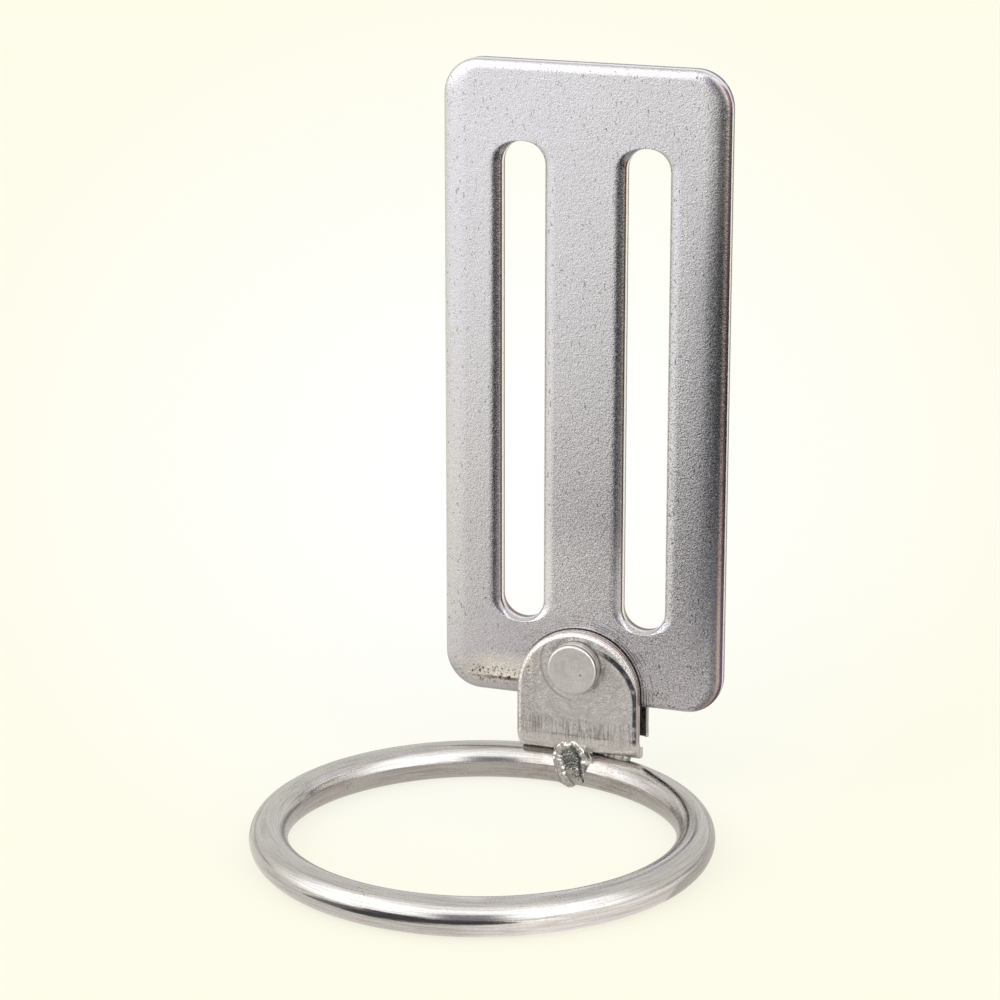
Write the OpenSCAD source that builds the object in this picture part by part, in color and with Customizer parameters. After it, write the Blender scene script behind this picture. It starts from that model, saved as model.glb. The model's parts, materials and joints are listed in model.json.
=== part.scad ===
// Tool belt ring: a slotted belt plate that swivels on a folded bracket, with a welded wire ring.
// It stands on its ring: z = 0 is the ring's underside, -Y is the front and +X is to the right.

/* [Belt plate] */
// Height of the plate
plate_h = 86; // [84:1:110]
// Width of the plate
plate_w = 39; // [37:0.5:60]
// Thickness of the plate
plate_t = 2.5; // [2:0.1:4]
// Radius of the plate's corners
plate_corner_r = 5; // [2.5:0.5:9]
// Radius that the press rolls over the front edge of the outline
edge_roll_r = 1; // [0.4:0.1:1.2]
// Length of each belt slot, end to end
slot_len = 65; // [40:1:65]
// Width of each belt slot
slot_w = 6; // [4.5:0.5:8]
// Distance between the centre lines of the two slots
slot_spacing = 17; // [14:0.5:20]
// Radius that the press rolls over the front edge of each slot
slot_roll_r = 0.8; // [0.3:0.1:1]

/* [Swivel bracket] */
// Thickness of the bracket's sheet
sheet_t = 1.5; // [1:0.1:2]
// Width of the bracket's ears
ear_w = 17; // [15:0.5:18]
// Free space between the plate and each ear
swivel_gap = 0.15; // [0.1:0.01:0.4]
// Height of the ears' round tops above the pivot
ear_rise = 4.6; // [4.2:0.1:4.8]
// Height of the pivot above the centre line of the fold
pivot_above_fold = 10.1; // [10:0.1:14]
// Radius of the worn outer edges of the sheet
sheet_edge_r = 0.3; // [0.1:0.05:0.5]
// Radius of the relief notch at each end of the fold
notch_r = 1.5; // [1:0.1:1.8]
// How far in from the end of the fold each notch has its centre
notch_inset = 0.7; // [0:0.1:1.5]
// How far below the centre line of the fold each notch has its centre
notch_drop = 2.2; // [2:0.1:2.8]

/* [Pivot rivet] */
// Diameter of the rivet's shank
shank_d = 4; // [3:0.5:5]
// Height of the pivot above the plate's lower edge
pivot_above_edge = 5.6; // [5:0.1:5.8]
// Radial running clearance between the shank and the plate
pivot_clearance = 0.05; // [0.02:0.01:0.1]
// Diameter of the front head where it meets the ear
head_d = 6.8; // [6:0.1:8]
// Height of the front head
head_h = 2.2; // [1:0.1:2.5]
// Radius of the round shoulder round the head's flat face
head_shoulder_r = 0.3; // [0.1:0.05:0.8]
// Diameter of the clinched back end
tail_d = 6.4; // [5.5:0.1:8]
// Height of the clinched back end
tail_h = 1.2; // [0.6:0.1:2]
// Radius of the round shoulder of the clinched back end
tail_shoulder_r = 0.6; // [0.2:0.1:0.6]

/* [Ring] */
// Clear diameter inside the ring
ring_bore_d = 50; // [44:1:70]
// Diameter of the ring's wire
wire_d = 5; // [4:0.5:6]
// Angle by which the ring is turned to the left at its weld, in degrees
ring_turn = 9.4; // [0:0.1:12]
// Space between the two ends of the wire, which the front weld fills
wire_end_gap = 1.2; // [0.4:0.1:2]

/* [Welds] */
// Width of the front weld where it bridges the fold and the wire
weld_w = 5.6; // [4:0.1:7]
// Width of the front weld on the front of the wire
collar_w = 4.4; // [3:0.1:6]
// How far the front weld stands proud of the wire
weld_proud = 0.4; // [0.2:0.05:0.8]
// How far the front weld lies to the left of the middle
weld_shift = 0.8; // [0:0.1:2]
// Radius of the rear weld's bead
bead_r = 1.1; // [0.8:0.05:1.4]
// Length of the rear weld's bead
bead_len = 14; // [6:0.5:15]
// Depth of the unfilled crevice between the front and the rear weld, from the wire's middle
weld_root = 0.6; // [0.4:0.05:0.7]

/* [Hidden] */
$fn = 96;

// Extra length that a cutting body has beyond what it cuts
over = 1;

wire_r = wire_d / 2;
ring_r = (ring_bore_d + wire_d) / 2;
fold_in_r = plate_t / 2 + swivel_gap;
fold_out_r = fold_in_r + sheet_t;
ear_r = ear_w / 2;
shank_r = shank_d / 2;
plate_bore_r = shank_r + pivot_clearance;

// Heights above the ring's underside
fold_z = wire_d + fold_out_r;
pivot_z = fold_z + pivot_above_fold;
plate_mid_z = pivot_z - pivot_above_edge + plate_h / 2;
ear_arc_z = pivot_z + ear_rise - ear_r;

// The middle of the ring, seen from above, with the middle of the fold at the origin
ring_x = -ring_r * sin(ring_turn);
ring_y = -ring_r * cos(ring_turn);

// The middle of the whole part's box, seen from above
front_y = ring_y - ring_r - wire_r;
back_y = max(fold_out_r + tail_h, ring_y + ring_r + wire_r);
centre_x = ring_x;
centre_y = (front_y + back_y) / 2;

// Moves a piece so that the middle of the part's box stands over the origin
module place() {
    translate([-centre_x, -centre_y, 0]) children();
}

// Draws the children and their mirror image across the plane through the origin with this normal
module both(normal) {
    children();
    mirror(normal) children();
}

// Quarter of a disc, which rounds over an edge
module quarter_disc(r) {
    intersection() {
        circle(r);
        square(r);
    }
}

// Rectangle with round corners, centred on the origin
module rounded_rect(w, h, r) {
    square([w - 2 * r, h], center = true);
    square([w, h - 2 * r], center = true);
    for (sx = [-1, 1], sy = [-1, 1])
        translate([sx * (w / 2 - r), sy * (h / 2 - r)]) circle(r);
}

// Slab with round corners and its upper edge rounded over by radius roll
module rolled_slab(w, h, t, corner_r, roll) {
    linear_extrude(t - roll) rounded_rect(w, h, corner_r);
    linear_extrude(t) rounded_rect(w - 2 * roll, h - 2 * roll, corner_r - roll);
    translate([0, 0, t - roll]) {
        both([1, 0, 0]) translate([w / 2 - roll, 0, 0]) rotate([90, 0, 0])
            linear_extrude(h - 2 * corner_r, center = true) quarter_disc(roll);
        both([0, 1, 0]) translate([0, h / 2 - roll, 0]) rotate([90, 0, 90])
            linear_extrude(w - 2 * corner_r, center = true) quarter_disc(roll);
        both([1, 0, 0]) both([0, 1, 0])
            translate([w / 2 - corner_r, h / 2 - corner_r, 0]) rotate_extrude(angle = 90)
            translate([corner_r - roll, 0]) quarter_disc(roll);
    }
}

// Section that is cut away beside a slot's wall to leave its upper edge rounded over
module roll_section(roll) {
    difference() {
        translate([-over, 0]) square([roll + over, roll + over]);
        translate([roll, 0]) circle(roll);
    }
}

// Cutter for a slot with round ends, with its upper edge rounded over by radius roll
module slot_cutter(w, len, t, roll) {
    r = w / 2;
    straight = len - w;
    translate([0, 0, -over]) linear_extrude(t + 2 * over) {
        square([w, straight], center = true);
        both([0, 1]) translate([0, straight / 2]) circle(r);
    }
    translate([0, 0, t - roll]) {
        both([1, 0, 0]) translate([r, 0, 0]) rotate([90, 0, 0])
            linear_extrude(straight, center = true) roll_section(roll);
        both([0, 1, 0]) translate([0, straight / 2, 0]) rotate_extrude(angle = 180)
            translate([r, 0]) roll_section(roll);
    }
}

// Straight hole along the pivot, right through everything
module pivot_hole(r) {
    translate([0, 0, pivot_z]) rotate([90, 0, 0])
        cylinder(r = r, h = 2 * (fold_out_r + over), center = true);
}

module belt_plate() {
    color("silver") place() difference() {
        translate([0, plate_t / 2, plate_mid_z]) rotate([90, 0, 0]) difference() {
            rolled_slab(plate_w, plate_h, plate_t, plate_corner_r, edge_roll_r);
            both([1, 0, 0]) translate([slot_spacing / 2, 0, 0])
                slot_cutter(slot_w, slot_len, plate_t, slot_roll_r);
        }
        pivot_hole(plate_bore_r);
    }
}

// Half of the sheet's section, from its middle to one worn edge: the inner face is at y = 0
module half_strip() {
    square([ear_r - sheet_edge_r, sheet_t]);
    square([ear_r, sheet_t - sheet_edge_r]);
    translate([ear_r - sheet_edge_r, sheet_t - sheet_edge_r]) quarter_disc(sheet_edge_r);
}

// Front ear: straight up from the fold, with a round top
module front_ear() {
    translate([0, -fold_in_r, fold_z]) mirror([0, 1, 0])
        linear_extrude(ear_arc_z - fold_z) both([1, 0]) half_strip();
    translate([0, -fold_in_r, ear_arc_z]) rotate([90, 0, 0])
        rotate_extrude(angle = 180) half_strip();
}

// Half circle of sheet that joins the two ears below the plate
module fold() {
    translate([0, 0, fold_z]) rotate([0, 90, 0]) rotate([0, 0, -90])
        rotate_extrude(angle = 180) translate([fold_in_r, 0]) rotate([0, 0, -90])
        both([1, 0]) half_strip();
}

// Everything inside the outer faces of the fold and of the ears just above it
module filled_fold() {
    translate([0, 0, fold_z]) rotate([0, 90, 0])
        cylinder(r = fold_out_r, h = ear_w, center = true);
    translate([-ear_r, -fold_out_r, fold_z]) cube([ear_w, 2 * fold_out_r, wire_d]);
}

// Round notches that free the rear half of the fold at both of its ends
module relief_notches() {
    both([1, 0, 0]) translate([ear_r - notch_inset, 0, fold_z - notch_drop])
        rotate([-90, 0, 0]) cylinder(r = notch_r, h = fold_out_r + over);
}

module swivel_bracket() {
    color("lightgray") place() difference() {
        union() {
            both([0, 1, 0]) front_ear();
            fold();
        }
        relief_notches();
        pivot_hole(shank_r);
    }
}

// Half section of a rivet's end: a disc on the ear's face with a round shoulder
module end_section(r, h, shoulder_r) {
    square([r, h - shoulder_r]);
    square([r - shoulder_r, h]);
    translate([r - shoulder_r, h - shoulder_r]) quarter_disc(shoulder_r);
}

module pivot_rivet() {
    color("gainsboro") place() translate([0, 0, pivot_z]) rotate([90, 0, 0]) rotate_extrude() {
        translate([0, -fold_out_r]) square([shank_r, 2 * fold_out_r]);
        translate([0, fold_out_r]) end_section(head_d / 2, head_h, head_shoulder_r);
        translate([0, -fold_out_r]) mirror([0, 1]) end_section(tail_d / 2, tail_h, tail_shoulder_r);
    }
}

// The ring as a full circle of wire
module full_ring() {
    translate([ring_x, ring_y, wire_r]) rotate_extrude($fn = 180)
        translate([ring_r, 0]) circle(wire_r);
}

// Block that stands where the two ends of the wire meet
module wire_gap() {
    rotate([0, 0, -ring_turn]) translate([-weld_shift, 0, wire_r])
        cube([wire_end_gap, wire_d + 2 * over, wire_d + 2 * over], center = true);
}

// The wire as it is bent, with a space between its two ends
module bent_wire() {
    difference() {
        full_ring();
        wire_gap();
    }
}

module tool_ring() {
    color("gainsboro") place() bent_wire();
}

// A round lump in the crevice in front of the fold, and a collar on the front of the wire
module weld_lumps() {
    lump_r = weld_w / 2;
    rotate([0, 0, -ring_turn]) translate([-weld_shift, 0, 0]) {
        translate([0, lump_r - wire_r - 2 * weld_proud, wire_d]) sphere(lump_r);
        translate([0, -weld_proud, wire_r]) rotate([0, 90, 0])
            cylinder(r = wire_r, h = collar_w, center = true);
    }
}

module front_weld() {
    color("darkgray") place() {
        intersection() {
            full_ring();
            wire_gap();
        }
        difference() {
            weld_lumps();
            bent_wire();
            filled_fold();
            translate([-weld_w, -weld_root, 0]) cube([2 * weld_w, 2 * wire_d, 2 * wire_d]);
        }
    }
}

// Half section of the rear bead, which leaves out the crevice that no weld fills
module bead_section() {
    difference() {
        translate([ring_r + bead_r, 0]) circle(bead_r);
        translate([ring_r - over, -wire_d / 2]) square([weld_root + over, wire_d]);
    }
}

module rear_weld() {
    bead_angle = bead_len / (ring_r + bead_r) * 180 / PI;
    color("dimgray") place() difference() {
        translate([ring_x, ring_y, wire_d]) rotate([0, 0, 90 - ring_turn - bead_angle / 2])
            rotate_extrude(angle = bead_angle) bead_section();
        full_ring();
        filled_fold();
    }
}

belt_plate();
swivel_bracket();
pivot_rivet();
tool_ring();
front_weld();
rear_weld();
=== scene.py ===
import json
import math

import bmesh
import bpy
import numpy as np
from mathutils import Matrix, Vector, noise
from mathutils.geometry import tessellate_polygon


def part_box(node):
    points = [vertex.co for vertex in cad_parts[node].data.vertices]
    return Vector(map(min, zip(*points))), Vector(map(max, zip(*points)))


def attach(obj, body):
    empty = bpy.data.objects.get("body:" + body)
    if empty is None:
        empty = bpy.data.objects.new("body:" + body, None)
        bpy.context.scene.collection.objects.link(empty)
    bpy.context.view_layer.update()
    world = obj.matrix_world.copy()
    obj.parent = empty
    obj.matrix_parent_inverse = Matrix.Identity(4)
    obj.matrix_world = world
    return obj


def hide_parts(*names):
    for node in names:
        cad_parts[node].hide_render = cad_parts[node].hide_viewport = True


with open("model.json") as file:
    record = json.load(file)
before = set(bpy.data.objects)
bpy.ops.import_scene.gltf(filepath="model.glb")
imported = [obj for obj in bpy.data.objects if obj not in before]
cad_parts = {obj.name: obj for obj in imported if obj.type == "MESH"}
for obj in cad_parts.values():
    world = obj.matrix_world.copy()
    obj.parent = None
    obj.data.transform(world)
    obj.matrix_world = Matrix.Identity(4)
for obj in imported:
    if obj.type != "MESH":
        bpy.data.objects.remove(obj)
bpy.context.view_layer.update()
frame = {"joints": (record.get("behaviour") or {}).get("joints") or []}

# Units: every length is in metres, written in millimetres
MM = 0.001

# Driving sizes that the frame doesn't give; the notch's angle runs round the fold from its front
SLOT_LENGTH = 65 * MM
SLOT_WIDTH = 6 * MM
SLOT_SPACING = 17 * MM
PLATE_CORNER_R = 5 * MM
PLATE_ROLL_DEPTH = 1.0 * MM
SLOT_ROLL_DEPTH = 0.8 * MM
END_ROLL_SHARE = 0.4
SLOT_END_SHARE = 0.12
BRACKET_ROLL_DEPTH = 0.4 * MM
SHANK_R = 2 * MM
PIVOT_HOLE_R = 2.05 * MM
TAIL_R = 3.2 * MM
SHEET_T = 1.5 * MM
NOTCH_R = 1.5 * MM
NOTCH_INSET = 0.7 * MM
NOTCH_ANGLE = math.radians(127)
HOLE_SIDES = 32
RING_TURN = math.radians(9.4)
WELD_SHIFT = 0.8 * MM
WELD_SPHERE_R = 2.8 * MM
WELD_COLLAR_HALF = 2.2 * MM
WELD_PROUD = 0.4 * MM
WELD_HOLLOW_R = 2.1 * MM
WELD_ROOT_R = 1.75 * MM
WELD_REACH = 6 * MM
WELD_FLOOR = 0.02 * MM
BEAD_R = 1.1 * MM
BEAD_LENGTH = 14 * MM
BEAD_DROPS = 14

# Places and sizes from the frame
plate_lo, plate_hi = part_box("belt_plate")
bracket_lo, bracket_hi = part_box("swivel_bracket")
ring_lo, ring_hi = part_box("tool_ring")
rivet_lo, rivet_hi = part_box("pivot_rivet")
pivot = Vector(frame["joints"][0]["pos_m"])
PLATE_W = plate_hi.x - plate_lo.x
PLATE_H = plate_hi.z - plate_lo.z
PLATE_T = plate_hi.y - plate_lo.y
PLATE_MID_Z = (plate_lo.z + plate_hi.z) / 2
EAR_R = (bracket_hi.x - bracket_lo.x) / 2
FOLD_OUT_R = (bracket_hi.y - bracket_lo.y) / 2
FOLD_IN_R = FOLD_OUT_R - SHEET_T
FOLD_MID_R = (FOLD_IN_R + FOLD_OUT_R) / 2
HALF_FOLD = math.pi / 2 * FOLD_MID_R
NOTCH_V = (NOTCH_ANGLE - math.pi / 2) * FOLD_MID_R
FOLD_Z = bracket_lo.z + FOLD_OUT_R
EAR_ARC_Z = bracket_hi.z - EAR_R
WIRE_R = (ring_hi.z - ring_lo.z) / 2
RING_R = (ring_hi.x - ring_lo.x) / 2 - WIRE_R
ring_mid = Vector(((ring_lo.x + ring_hi.x) / 2, (ring_lo.y + ring_hi.y) / 2, WIRE_R))

BODY_OF_RING = "ring_and_bracket"
BODY_OF_PLATE = "plate"

# Depth of the steel's relief, and the length and width of a drawn wire's lines in millimetres
RELIEF_DEPTH = 0.042 * MM
DRAWN_LINE_LENGTH = 7
DRAWN_LINE_WIDTH = 0.16


# Materials: the coordinates and sizes in them are in millimetres

class Nodes:
    """Adds nodes to a material's or a world's tree; each method returns the new node's result."""

    def __init__(self, owner):
        owner.use_nodes = True
        self.tree = owner.node_tree
        self.tree.nodes.clear()

    def add(self, kind, inputs=None, **settings):
        made = self.tree.nodes.new(kind)
        for key, value in settings.items():
            setattr(made, key, value)
        for key, value in (inputs or {}).items():
            if isinstance(value, bpy.types.NodeSocket):
                self.tree.links.new(value, made.inputs[key])
            else:
                made.inputs[key].default_value = value
        return made

    def ramp(self, value, stops, smooth=True):
        """Maps a value through (position, brightness) stops."""
        made = self.add("ShaderNodeValToRGB", {"Fac": value})
        made.color_ramp.interpolation = "EASE" if smooth else "LINEAR"
        for element, (position, level) in zip(made.color_ramp.elements, stops):
            element.position = position
            element.color = (level, level, level, 1)
        return made.outputs["Color"]

    def mix(self, factor, a, b, blend="MIX"):
        """Mixes two colours, each a socket or a tuple of three."""
        inputs = {0: factor}
        for index, value in ((6, a), (7, b)):
            inputs[index] = (*value, 1) if isinstance(value, tuple) else value
        return self.add("ShaderNodeMix", inputs, data_type="RGBA", blend_type=blend).outputs[2]

    def maths(self, operation, a, b=0.0, clamp=False):
        return self.add("ShaderNodeMath", {0: a, 1: b}, operation=operation, use_clamp=clamp).outputs[0]

    def plus(self, a, b):
        return self.maths("ADD", a, b)

    def minus(self, a, b):
        return self.maths("SUBTRACT", a, b)

    def times(self, *values):
        """The product of several values."""
        result = values[0]
        for value in values[1:]:
            result = self.maths("MULTIPLY", result, value)
        return result

    def length(self, a, b):
        """The length of the two sides' diagonal."""
        return self.maths("SQRT", self.plus(self.times(a, a), self.times(b, b)))

    def fade(self, value, start, end, low=0.0, high=1.0):
        """Runs straight from low, where the value is at the start, to high, where it is at the end."""
        return self.add("ShaderNodeMapRange", {0: value, 1: start, 2: end, 3: low, 4: high}).outputs[0]

    def scale_to(self, value, low, high):
        """Maps 0 to low and 1 to high."""
        return self.fade(value, 0.0, 1.0, low, high)

    def step_up(self, value, level, soft):
        """0 below the level and 1 above it, with a soft step."""
        return self.add("ShaderNodeMapRange", {0: value, 1: level - soft, 2: level + soft},
                        interpolation_type="SMOOTHSTEP").outputs[0]

    def step_down(self, value, level, soft):
        """1 below the level and 0 above it, with a soft step."""
        return self.minus(1.0, self.step_up(value, level, soft))

    def band(self, value, low, high, soft):
        """1 where the value lies between low and high, with soft ends."""
        up = self.step_up(value, low, soft)
        return self.maths("SUBTRACT", up, self.step_up(value, high, soft), True)

    def axes(self, vector):
        """A vector's three parts."""
        parts = self.add("ShaderNodeSeparateXYZ", {0: vector})
        return parts.outputs["X"], parts.outputs["Y"], parts.outputs["Z"]


class Surface(Nodes):
    """A new material: where its places are on the piece, and its colour, roughness and height so far."""

    def __init__(self, name):
        self.material = bpy.data.materials.new(name)
        super().__init__(self.material)
        own = self.add("ShaderNodeTexCoord")
        self.where = self.add("ShaderNodeVectorMath", {0: own.outputs["Object"], "Scale": 1 / MM},
                              operation="SCALE").outputs[0]
        self.x, self.y, self.z = self.axes(self.where)
        self.right, self.back, self.upper = self.axes(own.outputs["Normal"])
        self.base, self.rough, self.height = None, None, None

    def output(self, shader):
        """Ends the tree with a shader; the result is the material."""
        self.add("ShaderNodeOutputMaterial", {"Surface": shader.outputs[0]})
        return self.material

    def paint(self, colour, *masks):
        """Lays a colour over the base as far as the product of the masks says."""
        self.base = self.mix(self.times(*masks), self.base, colour)

    def lift(self, *values):
        self.height = self.plus(self.height, self.times(*values))

    def sink(self, *values):
        self.height = self.minus(self.height, self.times(*values))

    def grain(self, size, detail=4, rough=0.6, distortion=0.0, where=None):
        inputs = {"Vector": where or self.where, "Scale": 1 / size, "Detail": detail, "Roughness": rough,
                  "Distortion": distortion}
        return self.add("ShaderNodeTexNoise", inputs).outputs["Fac"]

    def placed(self, where, scale, turn=(0, 0, 0)):
        """The coordinates scaled and turned."""
        return self.add("ShaderNodeMapping", {"Vector": where, "Scale": scale, "Rotation": turn}).outputs[0]

    def long_grain(self, size, detail, rough, turn=0.0):
        """Grain with a size along each axis, and the same all along an axis with size 0."""
        scale = tuple(1 / part if part else 0.0 for part in size)
        return self.grain(1.0, detail, rough, where=self.placed(self.where, scale, (0, turn, 0)))

    def speckle(self, size, low, high):
        """Small irregular specks: 0 or 1, with a narrow step between the two noise levels."""
        return self.ramp(self.grain(size, 3, 0.7, 0.6), [(low, 0.0), (high, 1.0)], False)

    def wall_mask(self, limit=0.35):
        """1 on faces that look sideways, 0 on those that look to the front or the back."""
        facing = self.add("ShaderNodeNewGeometry").outputs["True Normal"]
        return self.step_down(self.maths("ABSOLUTE", self.axes(facing)[1]), limit, 0.1)

    def offsets(self, x, z):
        """How far a place lies to the right of (x, z), and above it."""
        return self.minus(self.x, x), self.minus(self.z, z)

    def from_arch(self, x, z):
        """Distance from an upright line that ends at (x, z): round above it, straight beside it."""
        dx, dz = self.offsets(x, z)
        return self.length(dx, self.maths("MAXIMUM", dz, 0.0))

    def patch(self, oval, soft=0.5):
        """A soft oval spot in the plane of the plate: its middle's x and z and its half sizes."""
        x, z, half_x, half_z = oval
        dx, dz = self.offsets(x, z)
        reach = self.length(self.maths("DIVIDE", dx, half_x), self.maths("DIVIDE", dz, half_z))
        return self.step_down(reach, 1.0, soft)


def scratches(s):
    """Hairline scratches that run three ways, each with its turn in degrees and its length."""
    result = 0.0
    for turn, reach in ((8, 9), (-34, 6), (63, 5)):
        lines = s.long_grain((0.16, 0.16, reach), 1, 0.4, math.radians(turn))
        result = s.maths("MAXIMUM", s.ramp(lines, [(0.74, 0.0), (0.78, 1.0)], False), result)
    return result


def small_pits(s, strength):
    """Round pits at random places, of random sizes."""
    spots = s.add("ShaderNodeTexVoronoi", {"Vector": s.where, "Scale": 1 / 1.5, "Randomness": 1.0})
    chosen = s.add("ShaderNodeSeparateColor", {"Color": spots.outputs["Color"]}).outputs["Red"]
    size = s.ramp(chosen, [(0.78, 0.0), (1.0, 0.11 * strength)], False)
    return s.maths("LESS_THAN", spots.outputs["Distance"], size)


def steel(name, colour, roughness, marks_and_light, grain_size=0.21, bump=1.0, pits=1.0, mottle=0.07):
    """Barrel polished stainless: fine wormy grain, tiny pits, hairline scratches, and each piece's own
    marks, with painted light and shade on most.
    """
    s = Surface(name)
    fine = s.grain(grain_size, 2, 0.6, 0.6)
    coarse = s.grain(2.6 * grain_size, 2, 0.5, 0.5)
    cloud = s.grain(9, 4, 0.6)
    pit = small_pits(s, pits)
    dull = tuple(c * (1 - mottle) for c in colour)
    bright = tuple(min(1, c * (1 + 0.4 * mottle)) for c in colour)
    clouded = tuple(c * 0.92 for c in colour)
    s.base = s.mix(s.ramp(fine, [(0.3, 0.0), (0.7, 1.0)], False), dull, bright)
    s.paint(clouded, s.ramp(cloud, [(0.35, 0.0), (0.65, 0.35)]))
    s.paint((0.16, 0.14, 0.13), pit, 0.7)
    s.rough = s.scale_to(coarse, roughness - 0.06, roughness + 0.06)
    s.height = s.plus(fine, s.times(coarse, 0.45))
    s.sink(scratches(s), 0.25)
    s.sink(pit, 1.5)
    marks_and_light(s)
    relief = s.add("ShaderNodeBump", {"Height": s.height, "Strength": bump, "Distance": RELIEF_DEPTH})
    inputs = {"Base Color": s.base, "Metallic": 1.0, "Roughness": s.rough,
              "Normal": relief.outputs["Normal"]}
    return s.output(s.add("ShaderNodeBsdfPrincipled", inputs))


# Places on the plate and the bracket in millimetres, as the finishes use them
pivot_x, pivot_y, pivot_z = pivot / MM
plate_foot_z = plate_lo.z / MM
plate_top_z = plate_hi.z / MM
plate_right_x = plate_hi.x / MM
plate_mid_x = (plate_lo.x + plate_hi.x) / 2 / MM
plate_t = PLATE_T / MM
ear_r = EAR_R / MM
ear_arc_z = EAR_ARC_Z / MM

# Ovals on the plate and the bracket: the middle's x and z and the half sizes
PIVOT_POLISH = (pivot_x, pivot_z + 10, 7.5, 7)
FOOT_STAIN = (-7.4, 15.6, 5.5, 1.9)
FOOT_SPECKS = (-7.0, 14.9, 6.0, 1.2)
CORNER_SPECKS = (15.4, 14.6, 1.9, 0.55)
EAR_GLINT = (pivot_x - 6.6, 17.2, 0.5, 1.6)
HEAD_DENT = (5.73, 17.39, 0.14, 0.2)
JOINT_HEAT = (pivot_x - WELD_SHIFT / MM, 2.5, 8.0, 6.0)


def plate_depth(s):
    """How far a place lies behind the plate's front face."""
    return s.minus(s.y, plate_lo.y / MM)


def front_face(s):
    return s.step_down(plate_depth(s), 0.25 * plate_t, 0.05 * plate_t)


def peened_face(s, fleck):
    """Small dents, strongest to the right and towards the foot, and short nicks."""
    peened = s.times(s.fade(s.x, -4, 20, 0.22, 1.0), s.fade(s.z, 88, 42, 0.4, 1.0))
    s.paint((0.16, 0.15, 0.17), peened, s.ramp(fleck, [(0.56, 0.0), (0.66, 0.9)], False))
    s.paint((0.97, 0.96, 0.97), peened, s.ramp(fleck, [(0.34, 0.45), (0.42, 0.0)], False))
    slanted = s.long_grain((0.30, 0.30, 0.75), 1, 0.4, 0.6)
    nicks = s.times(s.ramp(slanted, [(0.69, 0.0), (0.73, 0.85)], False), s.scale_to(peened, 0.35, 1.0))
    s.paint((0.10, 0.09, 0.10), nicks)
    s.lift(peened, fleck, 0.5)
    s.sink(nicks, 1.5)


def rolled_edge(s, fleck):
    """The roll that looks to the right and the face beside it, painted dark as a reflection, with tan and
    purple lines of painted reflection along the roll.
    """
    depth = plate_depth(s)
    beside = s.step_down(s.upper, 0.5, 0.1)
    # Painted dark reflection on the face near the right edge, from 19 to 78 mm high
    gloom = s.fade(s.x, plate_right_x - 7, plate_right_x - 2)
    gloom = s.times(gloom, gloom, s.band(s.z, 19, 78, 10),
                    s.step_down(depth, 0.5 * plate_t, 0.05 * plate_t))
    s.paint((0.15, 0.155, 0.175), gloom, s.scale_to(fleck, 0.3, 1.0))
    # Painted dark reflection on the roll that looks to the right
    roll = s.times(s.step_up(s.right, 0.19, 0.07), s.step_down(depth, 0.9, 0.05), beside)
    s.paint((0.13, 0.13, 0.15), roll, s.scale_to(fleck, 0.4, 1.0))
    # Painted reflection lines along that roll: tan, then purple
    turned = s.times(s.step_up(s.right, 0.25, 0.05), beside)
    s.paint((0.50, 0.40, 0.33), turned, s.band(depth, 0.37, 0.53, 0.05), 0.75)
    s.paint((0.13, 0.075, 0.12), turned, s.band(depth, 0.57, 0.86, 0.04), 0.9)


def blanked_walls(s):
    """A burnished band and the top wall painted white as highlights, a torn band, brown in the slots, and a
    dark outline, purple along the top.
    """
    depth = plate_depth(s)
    wall = s.wall_mask()
    from_mid = s.maths("ABSOLUTE", s.minus(s.x, plate_mid_x))
    in_slot = s.step_down(from_mid, PLATE_W / 2 / MM - 4, 0.2)
    at_top = s.times(s.step_up(s.upper, 0.6, 0.1), s.step_up(s.z, plate_top_z - 6, 1))
    below_top = s.times(wall, s.minus(1.0, at_top))
    burnished = s.times(wall, s.band(depth, 0.92, 0.60 * plate_t, 0.04 * plate_t), 0.85)
    torn = s.times(below_top, s.step_up(depth, 0.63 * plate_t, 0.02 * plate_t))
    outline = s.times(below_top, s.step_up(depth, 0.55 * plate_t, 0.02 * plate_t),
                      s.minus(1.0, in_slot))
    brim = s.times(at_top, s.step_up(depth, 0.56 * plate_t, 0.02 * plate_t))
    streaks = s.long_grain((0.25, 1.5, 0.25), 3, 0.7)
    # Painted highlight: the burnished band painted white
    s.paint((0.97, 0.96, 0.98), burnished)
    s.paint((0.50, 0.47, 0.47), torn, s.scale_to(streaks, 0.2, 0.8))
    s.paint((0.24, 0.14, 0.10), torn, in_slot, 0.8)
    s.paint((0.14, 0.115, 0.115), outline, 0.9)
    # Painted highlight: the top wall painted white
    s.paint((1.0, 1.0, 1.0), at_top, wall)
    s.paint((0.15, 0.11, 0.38), brim, 0.9)
    s.rough = s.plus(s.rough, s.times(torn, 0.15))
    s.lift(torn, streaks, 2.0)


def worn_and_shaded_face(s, smear):
    """Arcs that the front ear has rubbed into the plate, a polished place above the pivot, and painted
    shade round the ear's edge.
    """
    front = front_face(s)
    from_ear = s.from_arch(pivot_x, ear_arc_z)
    broken = s.ramp(smear, [(0.42, 0.0), (0.50, 1.0)])
    rightwards = s.step_up(s.x, pivot_x - 2, 2)
    for gap, width, strength in ((0.42, 0.07, 1.0), (0.80, 0.06, 0.9), (1.15, 0.05, 0.8), (1.7, 0.06, 0.7)):
        arc = s.band(from_ear, ear_r + gap - width, ear_r + gap + width, 0.05)
        s.paint((0.10, 0.08, 0.08), arc, front, rightwards, broken, strength)
    rubbed = s.band(from_ear, ear_r, ear_r + 1.9, 0.4)
    s.paint((0.36, 0.34, 0.33), front, rubbed, s.ramp(smear, [(0.40, 0.0), (0.66, 0.25)]))
    s.paint((0.97, 0.95, 0.96), front, s.patch(PIVOT_POLISH, 0.6), 0.35)
    # Painted shade on the plate round the ear's edge, where the ear meets it
    contact = s.band(from_ear, ear_r - 1, ear_r + 0.14, 0.05)
    s.paint((0.07, 0.04, 0.03), front, contact, 0.9)


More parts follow.
